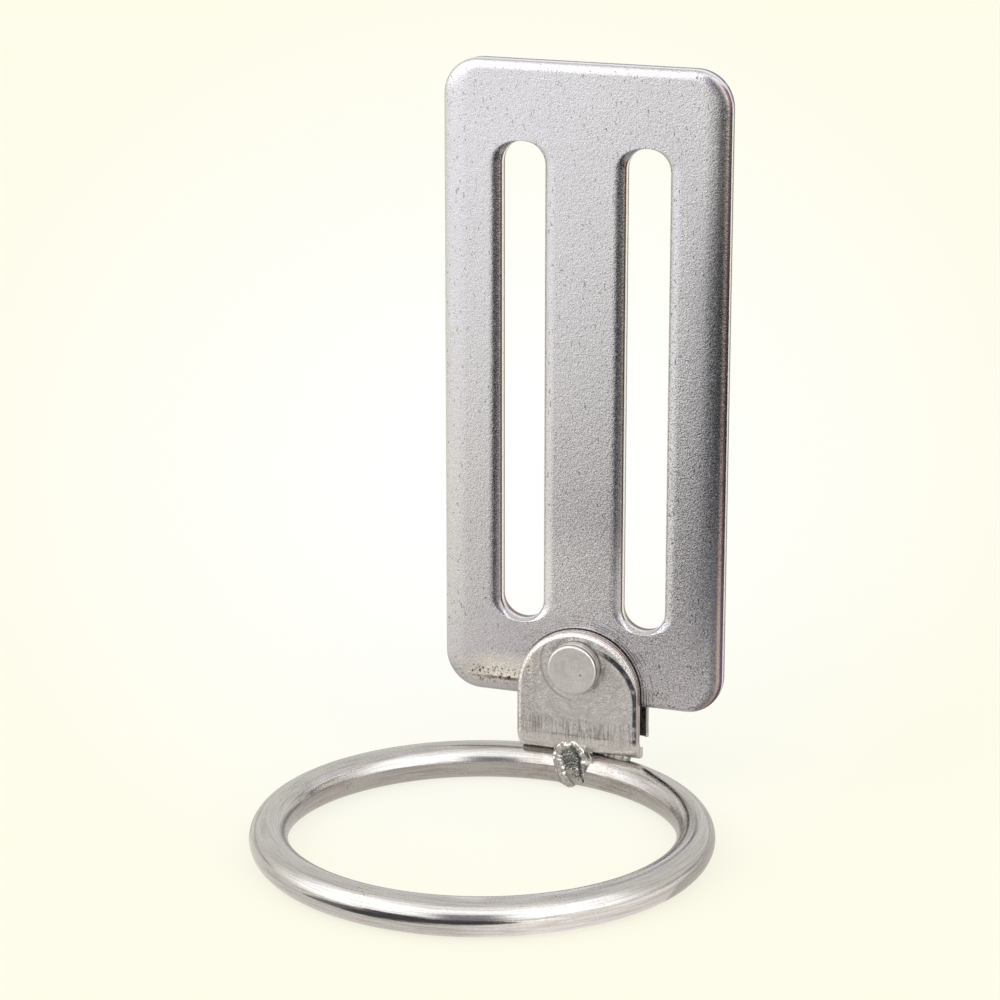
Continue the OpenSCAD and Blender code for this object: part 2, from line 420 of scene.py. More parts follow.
def foot_stains_and_highlight(s, smear):
    """A bright fold of light, a brown crease and rusty specks along the plate's foot."""
    front = front_face(s)
    foot = s.times(front, s.band(s.x, -9.5, 0, 2.5))
    specks = s.speckle(0.42, 0.55, 0.60)
    s.paint((0.80, 0.72, 0.52), front, s.patch(FOOT_STAIN), 0.3)
    # Painted highlight: a bright band of light above the crease
    lit = s.fade(s.z, plate_foot_z + 6.2, plate_foot_z + 2.2)
    s.paint((1.0, 0.97, 0.90), foot, lit, s.step_up(s.z, plate_foot_z + 2.1, 0.1))
    crease = s.band(s.z, plate_foot_z + 1.8, plate_foot_z + 2.2, 0.1)
    s.paint((0.14, 0.07, 0.03), foot, crease, s.ramp(smear, [(0.36, 0.3), (0.52, 1.0)]), 0.75)
    s.paint((0.12, 0.06, 0.03), front, s.patch(FOOT_SPECKS, 0.3), specks)
    s.paint((0.14, 0.09, 0.05), front, s.patch(CORNER_SPECKS, 0.3), specks)


# The plate's dents, wear and stains, with painted highlights, painted reflections and painted shade
def plate_finish_and_painted_light(s):
    fleck = s.grain(0.19, 1, 0.5, 0.3)
    smear = s.grain(1.6, 3, 0.7)
    peened_face(s, fleck)
    rolled_edge(s, fleck)
    blanked_walls(s)
    worn_and_shaded_face(s, smear)
    foot_stains_and_highlight(s, smear)


def press_ticks(s, ear):
    """Upright ticks in a row above the fold, with a wavy lower edge."""
    edge_wave = s.long_grain((1.1, 0, 0), 2, 0.5)
    lowered = s.plus(s.z, s.times(edge_wave, 3.2))
    comb = s.long_grain((0.24, 0, 3.5), 2, 0.5)
    return s.times(ear, s.band(lowered, 8.3, 11.9, 0.25),
                   s.ramp(comb, [(0.46, 0.0), (0.60, 1.0)], False))


def press_lines(s, ear, smear):
    """Two lines along the start of the fold, and the sheet's rolling lines below them."""
    for place, width in ((8.03, 0.09), (6.17, 0.12)):
        line = s.band(s.z, place - width, place + width, 0.06)
        s.paint((0.16, 0.12, 0.09), ear, line, s.ramp(smear, [(0.40, 0.1), (0.60, 0.5)]))
    rolling = s.long_grain((5, 0.2, 0.2), 3, 0.6)
    s.paint((0.26, 0.23, 0.21), s.step_down(s.z, 7.4, 0.5),
            s.ramp(rolling, [(0.45, 0.0), (0.62, 0.18)]))


def rivet_marks_and_glint(s, ear, smear, dirt):
    """A dark halo round the rivet's head, a rubbed arc beside it and a painted glint to its left."""
    dx, dz = s.offsets(pivot_x, pivot_z)
    away = s.length(dx, dz)
    halo = s.band(away, 3.4, 4.0, 0.25)
    s.paint((0.20, 0.18, 0.17), ear, halo, s.ramp(smear, [(0.4, 0.15), (0.6, 0.6)]))
    s.paint((0.22, 0.20, 0.19), ear, s.band(away, 4.9, 5.2, 0.12),
            s.step_down(dx, -1, 1), 0.4)
    # Painted highlight: a glint on the ear left of the rivet, with dirt specks in it
    glint = s.times(ear, s.patch(EAR_GLINT, 0.4))
    s.paint((0.90, 0.86, 0.80), glint, 0.8)
    s.paint((0.16, 0.08, 0.05), glint, dirt)


def ear_rim(s, ear, smear, from_mid):
    """The ears' rims with a painted highlight and a painted tan reflection, the front ear's crescent of
    painted dark reflection, and the spots at its left.
    """
    dx = s.offsets(pivot_x, pivot_z)[0]
    rim = s.from_arch(pivot_x, ear_arc_z)
    # Painted highlight along the ears' rims
    s.paint((0.98, 0.96, 0.93), ear, s.band(rim, ear_r - 0.62, ear_r - 0.28, 0.06),
            s.step_up(s.z, 7, 1), 0.8)
    # Painted tan reflection along the ears' outer edge
    s.paint((0.48, 0.38, 0.30), s.step_up(rim, ear_r - 0.2, 0.05),
            s.band(from_mid, 2.62, 2.86, 0.05), 0.7)
    # Painted dark reflection: a crescent on the front ear's right
    bulge = s.from_arch(pivot_x + 0.9, ear_arc_z - 1.0)
    crescent = s.times(ear, s.band(bulge, 6.98, 7.68, 0.1), s.step_up(dx, 3.6, 0.8),
                       s.band(s.z, 7.5, 21.6, 0.5), s.ramp(smear, [(0.34, 0.5), (0.50, 1.0)]),
                       s.step_down(s.y, pivot_y, 0.1))
    s.paint((0.035, 0.035, 0.055), crescent, 0.95)
    spots = s.speckle(0.24, 0.50, 0.60)
    s.paint((0.20, 0.17, 0.15), ear, s.step_down(dx, -5.6, 0.8), spots, 0.5)


def bracket_walls(s, from_mid):
    """Brown lines along the sheet's edge, painted as dark reflection and as shade where the ear meets the
    plate, a painted highlight, and an inside painted dark as shade.
    """
    wall = s.wall_mask(0.4)
    # Painted dark reflection lines near the outer face, and painted shade at the inner face, where the ear
    # meets the plate
    for inner, outer, strength in ((2.44, 2.60, 0.85), (1.95, 2.2, 0.85), (1.2, 1.55, 0.9)):
        s.paint((0.13, 0.07, 0.05), wall, s.band(from_mid, inner, outer, 0.05), strength)
    # Painted highlight along the edge
    s.paint((0.97, 0.95, 0.92), wall, s.band(from_mid, 2.2, 2.42, 0.04), 0.7)
    # Painted shade on the ears' inner faces and inside the fold
    inside = s.step_down(from_mid, 1.5, 0.04)
    s.paint((0.07, 0.05, 0.045), inside, s.minus(1.0, wall), 0.85)


# The bracket's press marks, dirt and wear, with painted highlights, painted reflections and painted shade
def bracket_finish_and_painted_light(s):
    from_mid = s.maths("ABSOLUTE", s.minus(s.y, pivot_y))
    ear = s.step_up(from_mid, FOLD_OUT_R / MM - 0.2, 0.05)
    smear = s.grain(1.8, 4, 0.7, 0.6)
    dirt = s.speckle(0.26, 0.52, 0.62)
    ticks = press_ticks(s, ear)
    s.paint((0.42, 0.39, 0.37), s.ramp(smear, [(0.36, 0.0), (0.66, 0.34)]))
    s.paint((0.24, 0.21, 0.19), dirt, 0.30)
    s.paint((0.19, 0.16, 0.13), ticks, s.ramp(smear, [(0.38, 0.15), (0.58, 0.6)]))
    press_lines(s, ear, smear)
    rivet_marks_and_glint(s, ear, smear, dirt)
    ear_rim(s, ear, smear, from_mid)
    bracket_walls(s, from_mid)
    # Painted highlight: the bend painted lighter as a sheen
    s.paint((0.94, 0.92, 0.88), s.band(s.z, 5.2, 7.7, 0.5), 0.5)
    s.paint((0.40, 0.31, 0.24), s.step_down(s.z, 4.7, 0.4), 0.22)
    s.sink(ticks, 1.2)
    s.sink(dirt, 0.4)


def rivet_finish_and_painted_light(s):
    """Dark lines on the head's upper right, painted as shade and reflection, a flank round it painted
    bright as a highlight, a dull face and one small dent.
    """
    from_mid = s.maths("ABSOLUTE", s.minus(s.y, pivot_y))
    proud = s.minus(from_mid, FOLD_OUT_R / MM)
    dx, dz = s.offsets(pivot_x, pivot_z)
    side = s.step_up(s.length(dx, dz), 3.12, 0.04)
    upper_right = s.step_up(s.plus(dx, dz), 0.5, 0.8)
    # Painted highlight on the head's flank
    s.paint((0.97, 0.96, 0.93), side, s.band(proud, 0.4, 1.55, 0.06), 0.9)
    # Painted dark lines on the head's upper right: shade where it meets the ear, dark reflection above that
    for low, high, strength in ((-1.0, 0.32, 0.9), (0.98, 1.10, 0.6), (1.62, 1.98, 0.9)):
        line = s.band(proud, low, high, 0.06)
        s.paint((0.09, 0.05, 0.035), side, upper_right, line, strength)
    dent = s.patch(HEAD_DENT, 0.3)
    s.paint((0.15, 0.13, 0.12), dent, 0.7)
    smear = s.grain(1.2, 4, 0.7)
    s.paint((0.46, 0.43, 0.40), s.ramp(smear, [(0.40, 0.0), (0.68, 0.30)]))
    s.sink(dent, 3.0)


def ring_finish(s):
    """Drawn wire: fine lines along its length, pits in clusters and heat colours beside the weld."""
    local = s.add("ShaderNodeVectorMath", {0: s.where, 1: tuple(ring_mid / MM)}, operation="SUBTRACT")
    x, y, z = s.axes(local.outputs[0])
    turn = s.maths("ARCTAN2", y, x)
    along = s.add("ShaderNodeCombineXYZ", {0: s.times(turn, RING_R / MM / DRAWN_LINE_LENGTH),
                                           1: s.maths("DIVIDE", s.length(x, y), DRAWN_LINE_WIDTH),
                                           2: s.maths("DIVIDE", z, DRAWN_LINE_WIDTH)}).outputs[0]
    lines = s.grain(1.0, 3, 0.6, where=along)
    wide = s.grain(1.0, 2, 0.5, where=s.placed(along, (1.0, 0.25, 0.25)))
    s.paint((0.34, 0.31, 0.29), s.ramp(lines, [(0.38, 0.50), (0.55, 0.0)]))
    smear = s.grain(2.2, 4, 0.7)
    s.paint((0.36, 0.29, 0.21), s.patch(JOINT_HEAT), s.step_up(y, 20, 4),
            s.ramp(smear, [(0.42, 0.0), (0.66, 0.5)]))
    cluster = s.ramp(s.grain(7, 2, 0.5), [(0.56, 0.0), (0.66, 1.0)])
    rust = s.times(cluster, s.speckle(0.24, 0.58, 0.64))
    s.paint((0.16, 0.11, 0.08), rust, 0.75)
    s.lift(lines, 2.2)
    s.lift(wide, 3.0)
    s.sink(rust, 2.0)


def weld_finish_and_painted_shade(s):
    """Bright lumps with a dark, glassy and grainy middle and a crescent of painted shade; the mesh says
    where, in a layer of vertex values.
    """
    soot_and_shade = s.add("ShaderNodeAttribute", attribute_name="soot_and_shade").outputs["Fac"]
    cells = s.add("ShaderNodeTexVoronoi", {"Vector": s.where, "Scale": 1 / 0.34, "Randomness": 1.0})
    spark = s.ramp(cells.outputs["Distance"], [(0.10, 1.0), (0.42, 0.0)])
    smear = s.grain(0.7, 4, 0.7, 1.0)
    s.paint((0.30, 0.28, 0.26), s.ramp(smear, [(0.40, 0.0), (0.62, 0.7)]))
    dark = s.mix(s.times(spark, 0.9), (0.15, 0.155, 0.145), (0.52, 0.53, 0.50))
    # Near-black where the layer is highest, mostly the crescent of painted shade
    dark = s.mix(s.ramp(soot_and_shade, [(0.72, 0.0), (0.95, 1.0)]), dark, (0.02, 0.02, 0.018))
    s.base = s.mix(s.ramp(soot_and_shade, [(0.15, 0.0), (0.55, 0.92)]), s.base, dark)
    s.lift(soot_and_shade, spark, 4.0)
    s.lift(smear, 2.0)


plate_steel = steel("plate_steel", (0.65, 0.63, 0.66), 0.225, plate_finish_and_painted_light)
bracket_steel = steel("bracket_steel", (0.72, 0.70, 0.685), 0.24, bracket_finish_and_painted_light, 0.22, mottle=0.22)
rivet_steel = steel("rivet_steel", (0.79, 0.77, 0.745), 0.30, rivet_finish_and_painted_light, pits=0.5, mottle=0.20)
ring_steel = steel("ring_steel", (0.62, 0.60, 0.58), 0.16, ring_finish, bump=0.13, pits=0.4, mottle=0.18)
weld_metal = steel("weld_metal", (0.70, 0.68, 0.65), 0.18, weld_finish_and_painted_shade, bump=0.45)


# Mesh helpers

def add_piece(name, verts, faces, material, body, node, sharp=35):
    """Makes a mesh object, smooth but for its sharp edges, and ties it to the frame."""
    mesh = bpy.data.meshes.new(name)
    mesh.from_pydata([tuple(v) for v in verts], [], [tuple(f) for f in faces])
    work = bmesh.new()
    work.from_mesh(mesh)
    bmesh.ops.remove_doubles(work, verts=work.verts, dist=1e-7)
    bmesh.ops.recalc_face_normals(work, faces=work.faces)
    work.to_mesh(mesh)
    work.free()
    mesh.polygons.foreach_set("use_smooth", [True] * len(mesh.polygons))
    mesh.set_sharp_from_angle(angle=math.radians(sharp))
    piece = bpy.data.objects.new(name, mesh)
    bpy.context.scene.collection.objects.link(piece)
    mesh.materials.append(material)
    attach(piece, body)
    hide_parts(node)
    return piece


def skin(loops, first):
    """Quads between loops of equal length; first is the index of the first loop's first point."""
    count = len(loops[0])
    faces = []
    for row in range(len(loops) - 1):
        for i in range(count):
            j = (i + 1) % count
            a = first + row * count
            faces.append((a + i, a + j, a + count + j, a + count + i))
    return faces


def roll_curve(depth, gentle, sharpness, steps):
    """Points (inset, depth) of an edge that a press rolls over, from the flat face to the edge.

    Its slope grows gently at first, to the given share of 90 degrees, and then turns sharply to the edge.
    """
    fine = 400
    along = (np.arange(fine) + 0.5) / fine
    slope = math.pi / 2 * (gentle * along + (1 - gentle) * along ** sharpness)
    down = np.concatenate([[0], np.cumsum(np.sin(slope))])
    across = np.concatenate([[0], np.cumsum(np.cos(slope))])
    size = depth / down[-1]
    picks = np.linspace(0, 1, steps + 1) ** 0.8 * fine
    picks = [int(round(p)) for p in picks]
    return [((across[-1] - across[p]) * size, down[p] * size) for p in picks]


def plate_edge(depth, gentle, sharpness, steps=16):
    """Profile of a blanked edge: rolled front, burnished band, torn band and a small burr."""
    support = 0.12 * MM
    burnished = 0.62 * PLATE_T
    torn_inset = 0.16 * MM
    burr = 0.05 * MM
    curve = roll_curve(depth, gentle, sharpness, steps)
    wall = [(0, depth + 0.04 * MM), (0, burnished), (0.03 * MM, burnished + 0.03 * MM),
            (torn_inset, PLATE_T - burr), (torn_inset + burr, PLATE_T),
            (torn_inset + burr + support, PLATE_T)]
    return [(curve[0][0] + support, 0)] + curve + wall


def rounded_rect_loop(w, h, r, inset, steps=14):
    """Outline of a rectangle with round corners, drawn in by inset, and by less at its top and foot."""
    r_x = r - inset
    r_z = r - END_ROLL_SHARE * inset
    points = []
    for sx, sz, start in ((1, 1, 0), (-1, 1, 90), (-1, -1, 180), (1, -1, 270)):
        for i in range(steps + 1):
            a = math.radians(start + 90 * i / steps)
            points.append((sx * (w / 2 - r) + r_x * math.cos(a), sz * (h / 2 - r) + r_z * math.sin(a)))
    return points


def slot_loop(x, w, length, inset, steps=24):
    """Outline of a slot with round ends; a positive inset widens it, and its ends by less."""
    r_x = w / 2 + inset
    r_z = w / 2 + SLOT_END_SHARE * inset
    points = []
    for sz, start in ((1, 0), (-1, 180)):
        for i in range(steps + 1):
            a = math.radians(start + 180 * i / steps)
            points.append((x + r_x * math.cos(a), sz * (length - w) / 2 + r_z * math.sin(a)))
    return points


def circle_loop(x, z, r, steps=48):
    return [(x + r * math.cos(2 * math.pi * i / steps), z + r * math.sin(2 * math.pi * i / steps))
            for i in range(steps)]


def fill(verts, rings):
    """Triangles that fill the area between an outer loop and the holes in it, as vertex indices."""
    flat = [i for ring in rings for i in ring]
    found = tessellate_polygon([[Vector((verts[i][0], verts[i][2], 0)) for i in ring] for ring in rings])
    return [tuple(flat[i] for i in triangle) for triangle in found]


def make_plate():
    mid_x = (plate_lo.x + plate_hi.x) / 2
    hole_z = pivot.z - PLATE_MID_Z
    outer = plate_edge(PLATE_ROLL_DEPTH, 0.25, 9)
    inner = plate_edge(SLOT_ROLL_DEPTH, 0.42, 5)
    hole = [(0.1 * MM, 0), (0, 0.1 * MM), (0, PLATE_T - 0.1 * MM), (0.1 * MM, PLATE_T)]
    sets = [[(rounded_rect_loop(PLATE_W, PLATE_H, PLATE_CORNER_R, i), d) for i, d in outer]]
    for side in (-1, 1):
        sets.append([(slot_loop(side * SLOT_SPACING / 2, SLOT_WIDTH, SLOT_LENGTH, i), d) for i, d in inner])
    sets.append([(circle_loop(0, hole_z, PIVOT_HOLE_R + i), d) for i, d in hole])
    verts, faces, fronts, backs = [], [], [], []
    for loops in sets:
        first = len(verts)
        count = len(loops[0][0])
        for points, depth in loops:
            verts += [(mid_x + x, plate_lo.y + depth, PLATE_MID_Z + z) for x, z in points]
        faces += skin([p for p, d in loops], first)
        fronts.append(list(range(first, first + count)))
        backs.append(list(range(len(verts) - count, len(verts))))
    faces += fill(verts, fronts) + fill(verts, backs)
    add_piece("plate_sheet", verts, faces, plate_steel, BODY_OF_PLATE, "belt_plate")


def blank_outline():
    """Half outline (u > 0) of the flat blank before folding: u across, v along from the fold's middle."""
    arc_v = HALF_FOLD + EAR_ARC_Z - FOLD_Z
    mouth = math.sqrt(NOTCH_R ** 2 - NOTCH_INSET ** 2)
    points = []
    steps = 40
    for i in range(steps + 1):
        a = math.pi / 2 * i / steps
        points.append((EAR_R * math.sin(a), -arc_v - EAR_R * math.cos(a)))
    for v in np.linspace(-arc_v, NOTCH_V - mouth, 30)[1:-1]:
        points.append((EAR_R, v))
    start = math.atan2(-mouth, NOTCH_INSET)
    for i in range(29):
        a = start - (2 * math.pi + 2 * start) * i / 28
        points.append((EAR_R - NOTCH_INSET + NOTCH_R * math.cos(a), NOTCH_V + NOTCH_R * math.sin(a)))
    for v in np.linspace(NOTCH_V + mouth, arc_v, 20)[1:-1]:
        points.append((EAR_R, v))
    for i in range(steps + 1):
        a = math.pi / 2 * (1 - i / steps)
        points.append((EAR_R * math.sin(a), arc_v + EAR_R * math.cos(a)))
    return points


def drawn_in(points, inset):
    """A closed outline (anticlockwise) moved inwards by inset, along the normals at its points."""
    p = np.array(points)
    before, after = np.roll(p, 1, 0), np.roll(p, -1, 0)
    d1 = p - before
    d2 = after - p
    n1 = np.stack([-d1[:, 1], d1[:, 0]], 1) / np.linalg.norm(d1, axis=1)[:, None]
    n2 = np.stack([-d2[:, 1], d2[:, 0]], 1) / np.linalg.norm(d2, axis=1)[:, None]
    n = n1 + n2
    n /= np.linalg.norm(n, axis=1)[:, None]
    reach = np.clip(1 / np.maximum((n * n1).sum(1), 0.5), 1, 2)
    return p + n * (reach * inset)[:, None]


def near_notch(points):
    """1 along most of the outline, less beside the notches, where the roll is narrow."""
    v = np.array(points)[:, 1]
    return np.clip((np.abs(v - NOTCH_V) - 1.7 * MM) / (1.5 * MM), 0.15, 1)


def flat_blank():
    """Corners (u, height over the inside, v) and faces of the bracket's sheet before it is folded."""
    half = blank_outline()
    outline = half + [(-u, v) for u, v in reversed(half[1:-1])]
    support = 0.08 * MM
    broken = 0.08 * MM
    curve = roll_curve(BRACKET_ROLL_DEPTH, 0.35, 6, 10)
    profile = [(curve[0][0] + support, SHEET_T)] + [(inset, SHEET_T - depth) for inset, depth in curve]
    profile += [(0, broken), (broken, 0), (broken + support, 0)]
    verts, loops = [], []
    for inset, w in profile:
        loop = drawn_in(outline, inset * near_notch(outline))
        loops.append(loop)
        verts += [(u, w, v) for u, v in loop]
    faces = skin(loops, 0)
    count = len(outline)
    outside = list(range(count))
    inside = list(range(len(verts) - count, len(verts)))
    hole_v = HALF_FOLD + pivot.z - FOLD_Z
    rings = {0: [outside], 1: [inside]}
    for side in (-1, 1):
        first = len(verts)
        circle = circle_loop(0, side * hole_v, SHANK_R, HOLE_SIDES)
        verts += [(u, SHEET_T, v) for u, v in circle] + [(u, 0, v) for u, v in circle]
        faces += skin([circle, circle], first)
        rings[0].append(list(range(first, first + HOLE_SIDES)))
        rings[1].append(list(range(first + HOLE_SIDES, first + 2 * HOLE_SIDES)))
    return verts, faces + fill(verts, rings[0]) + fill(verts, rings[1])


def folded(u, w, v):
    """Where a place on the flat blank comes to lie when the sheet is folded."""
    angle = max(-math.pi / 2, min(math.pi / 2, v / FOLD_MID_R))
    r = FOLD_IN_R + w
    rise = abs(v - angle * FOLD_MID_R)
    return (pivot.x + u, pivot.y + r * math.sin(angle), FOLD_Z - r * math.cos(angle) + rise)


def make_bracket():
    verts, faces = flat_blank()
    work = bmesh.new()
    made = [work.verts.new(v) for v in verts]
    for face in faces:
        work.faces.new([made[i] for i in face])
    for v in np.linspace(-HALF_FOLD, HALF_FOLD, 31):
        geometry = work.verts[:] + work.edges[:] + work.faces[:]
        bmesh.ops.bisect_plane(work, geom=geometry, dist=1e-8, plane_co=(0, 0, v), plane_no=(0, 0, 1))
    for vert in work.verts:
        vert.co = folded(*vert.co)
    work.verts.index_update()
    verts = [v.co.copy() for v in work.verts]
    faces = [[v.index for v in f.verts] for f in work.faces]
    work.free()
    add_piece("bracket_strip", verts, faces, bracket_steel, BODY_OF_RING, "swivel_bracket")


def lathe(profile, steps, place):
    """Turns a profile of (radius, height) points about an axis; its ends lie on the axis."""
    verts, faces = [], []
    rows = []
    for r, h in profile:
        if r < 1e-9:
            rows.append([len(verts)])
            verts.append(place(0, 0, h))
        else:
            rows.append(list(range(len(verts), len(verts) + steps)))
            for i in range(steps):
                a = 2 * math.pi * i / steps
                verts.append(place(r * math.cos(a), r * math.sin(a), h))
    for a, b in zip(rows, rows[1:]):
        for i in range(steps):
            j = (i + 1) % steps
            quad = [a[i % len(a)], a[j % len(a)], b[j % len(b)], b[i % len(b)]]
            faces.append(list(dict.fromkeys(quad)))
    return verts, faces


def make_rivet():
    """Solid rivet: flat head in front, round shank, and a clinched end with its tool's ring mark behind."""
    head_r = (rivet_hi.x - rivet_lo.x) / 2
    head_h = pivot.y - FOLD_OUT_R - rivet_lo.y
    tail_h = rivet_hi.y - pivot.y - FOLD_OUT_R
    shoulder = 0.3 * MM
    front = FOLD_OUT_R + head_h
    profile = [(0, front - 0.06 * MM), (1.2 * MM, front - 0.05 * MM), (2.3 * MM, front - 0.015 * MM),
               (head_r - shoulder - 0.12 * MM, front)]
    for a in np.linspace(0, math.pi / 2, 9):
        profile.append((head_r - shoulder * (1 - math.sin(a)), front - shoulder * (1 - math.cos(a))))
    profile += [(head_r, FOLD_OUT_R + 0.12 * MM), (head_r - 0.06 * MM, FOLD_OUT_R),
                (SHANK_R, FOLD_OUT_R - 0.02 * MM), (SHANK_R, -FOLD_OUT_R + 0.02 * MM),
                (TAIL_R - 0.1 * MM, -FOLD_OUT_R), (TAIL_R, -FOLD_OUT_R - 0.1 * MM)]
    for a in np.linspace(0, math.pi / 2, 9):
        profile.append((TAIL_R - 0.8 * MM * (1 - math.cos(a)),
                        -FOLD_OUT_R - 0.3 * MM - (tail_h - 0.3 * MM) * math.sin(a)))
    back = -FOLD_OUT_R - tail_h
    profile += [(1.5 * MM, back + 0.02 * MM), (1.3 * MM, back + 0.12 * MM), (1.1 * MM, back + 0.02 * MM),
                (0.6 * MM, back + 0.05 * MM), (0, back + 0.3 * MM)]

    def place(a, b, h):
        return (pivot.x + a, pivot.y - h, pivot.z + b)

    verts, faces = lathe(profile, 96, place)
    add_piece("rivet_solid", verts, faces, rivet_steel, BODY_OF_RING, "pivot_rivet")


def make_ring():
    """Wire bent to a ring, hardly out of true, and closed where the weld hides the wire's ends."""
    around, across = 360, 64
    verts, faces = [], []
    for i in range(around):
        a = 2 * math.pi * i / around
        wave = Vector((math.cos(a) * 1.3, math.sin(a) * 1.3, 4.0))
        drift = noise.noise(wave) * 0.02 * MM
        for j in range(across):
            b = 2 * math.pi * j / across
            r = WIRE_R - 0.01 * MM + 0.006 * MM * noise.noise(Vector((math.cos(a) * 3, math.sin(a) * 3, b)))
            x = (RING_R + drift + r * math.cos(b)) * math.cos(a)
            y = (RING_R + drift + r * math.cos(b)) * math.sin(a)
            verts.append(ring_mid + Vector((x, y, r * math.sin(b))))
            k = (i + 1) % around
            m = (j + 1) % across
            faces.append((i * across + j, k * across + j, k * across + m, i * across + m))
    add_piece("ring_wire", verts, faces, ring_steel, BODY_OF_RING, "tool_ring")


def solve_blob(directions, centre, inside):
    """Points where rays from the centre leave the body for which inside(points) is below zero."""
    near = np.zeros(len(directions))
    far = np.full(len(directions), WELD_REACH)
    reach = np.linspace(0, WELD_REACH, 41)
    left = np.zeros(len(directions), bool)
    for a, b in zip(reach, reach[1:]):
        out = inside(centre + directions * b) > 0
        first = out & ~left
        near[first], far[first] = a, b
        left |= out
    for _ in range(22):
        mid = (near + far) / 2
        out = inside(centre + directions * mid[:, None]) > 0
        far = np.where(out, mid, far)
        near = np.where(out, near, mid)
    return centre + directions * near[:, None]


def noise_field(points, size, seed):
    offset = Vector((seed * 7.3, seed * 3.1, seed * 5.7))
    return np.array([noise.noise(Vector(p) / size + offset) for p in points])


def smooth_max(a, b, k):
    return np.maximum(a, b) + np.maximum(k - np.abs(a - b), 0) ** 2 / (4 * k)


def weld_distance(p):
    """Below zero inside the plain weld: a ball at the fold and a collar on the wire, melted together."""
    lump = np.linalg.norm(p - np.array([0, -0.5 * MM, 5 * MM]), axis=1) - WELD_SPHERE_R
    axis_off = np.hypot(p[:, 1] + WELD_PROUD, p[:, 2] - WIRE_R) - WIRE_R
    collar = smooth_max(axis_off, np.abs(p[:, 0]) - WELD_COLLAR_HALF, 0.8 * MM)
    body = -smooth_max(-lump, -collar, 0.9 * MM)
    hollow = WELD_HOLLOW_R - np.hypot(p[:, 1], p[:, 2] - FOLD_Z)
    return np.maximum(np.maximum(body, hollow), WELD_FLOOR - p[:, 2])


def weld_relief(base):
    """How far each place of the plain weld is raised, and how dark it is: sooty in the middle, with painted
    shade in a crescent at its right.
    """
    x, y, z = base.T
    front = np.clip((-y - 0.3 * MM) / (0.9 * MM), 0, 1)
    sunk = np.maximum(4.6 * MM - z, 0)
    middle_x = 0.2 * MM + 0.22 * sunk
    half_w = 1.42 * MM - 0.10 * sunk
    oval = np.hypot((x - middle_x) / half_w, np.maximum(z - 4.6 * MM, 0) / (1.6 * MM))
    lumps = noise_field(base, 0.8 * MM, 1)
    grains = noise_field(base, 0.24 * MM, 2)
    ripple = noise_field(base, 0.4 * MM, 3)
    oval = oval + 0.14 * ripple
    middle = np.clip((1.08 - oval) / 0.16, 0, 1)
    rim = 0.46 * MM * np.exp(-((oval - 1.38) / 0.24) ** 2) * (1 + 0.35 * lumps)
    crater = 0.50 * MM * middle
    flank = 0.09 * MM * np.sin(13 * oval + 4 * lumps) * np.clip((oval - 1.5) / 0.3, 0, 1)
    lobe_x, lobe_z = (x + 2.2 * MM) / (0.7 * MM), (z - 4.2 * MM) / (0.7 * MM)
    left_lobe = 0.30 * MM * np.exp(-(lobe_x ** 2 + lobe_z ** 2))
    height = front * (rim - crater + left_lobe + flank) + 0.12 * MM * lumps * (1 - middle)
    height += 0.035 * MM * ripple + 0.22 * MM * grains * middle * front
    # Painted shade: a dark crescent inside the rim's right side
    crescent = np.exp(-((oval - 1.08) / 0.10) ** 2) * np.clip((x - 0.1 * MM) / (0.8 * MM), 0, 1)
    return height, front * np.clip(0.6 * middle + 0.9 * crescent, 0, 1)


def out_of_fold(points):
    """Pushes places that come too near the inside of the fold back out to the weld's root."""
    gap = np.hypot(points[:, 1], points[:, 2] - FOLD_Z)
    deep = gap < WELD_ROOT_R
    scale = WELD_ROOT_R / np.maximum(gap, 0.1 * MM)
    points[deep, 1] *= scale[deep]
    points[deep, 2] = FOLD_Z + (points[deep, 2] - FOLD_Z) * scale[deep]


def add_soot_and_shade(weld, levels):
    layer = weld.data.attributes.new("soot_and_shade", "FLOAT", "POINT")
    layer.data.foreach_set("value", levels)


def make_front_weld():
    """Crater-like lump on the front of the joint: a raised rim round a sunken, grainy middle.

    It is shaped in its own frame: x along the wire, y away from the viewer, z up from the floor.
    """
    turn = Vector((math.cos(RING_TURN), -math.sin(RING_TURN), 0))
    back = Vector((math.sin(RING_TURN), math.cos(RING_TURN), 0))
    origin = Vector((pivot.x, pivot.y, 0)) - turn * WELD_SHIFT
    ball = bmesh.new()
    bmesh.ops.create_icosphere(ball, subdivisions=6, radius=1)
    directions = np.array([v.co for v in ball.verts])
    faces = [[v.index for v in f.verts] for f in ball.faces]
    ball.free()
    centre = np.array([0, -0.45 * MM, 3.7 * MM])
    base = solve_blob(directions, centre, weld_distance)
    height, soot_and_shade = weld_relief(base)
    reach = np.maximum(np.linalg.norm(base - centre, axis=1), 0.5 * MM)
    points = centre + (base - centre) * (1 + height / reach)[:, None]
    points[:, 2] = np.maximum(points[:, 2], WELD_FLOOR)
    out_of_fold(points)
    verts = [origin + turn * p[0] + back * p[1] + Vector((0, 0, p[2])) for p in points.tolist()]
    weld = add_piece("weld_front_lump", verts, faces, weld_metal, BODY_OF_RING, "front_weld",
                     180)
    add_soot_and_shade(weld, soot_and_shade.astype(np.float32))


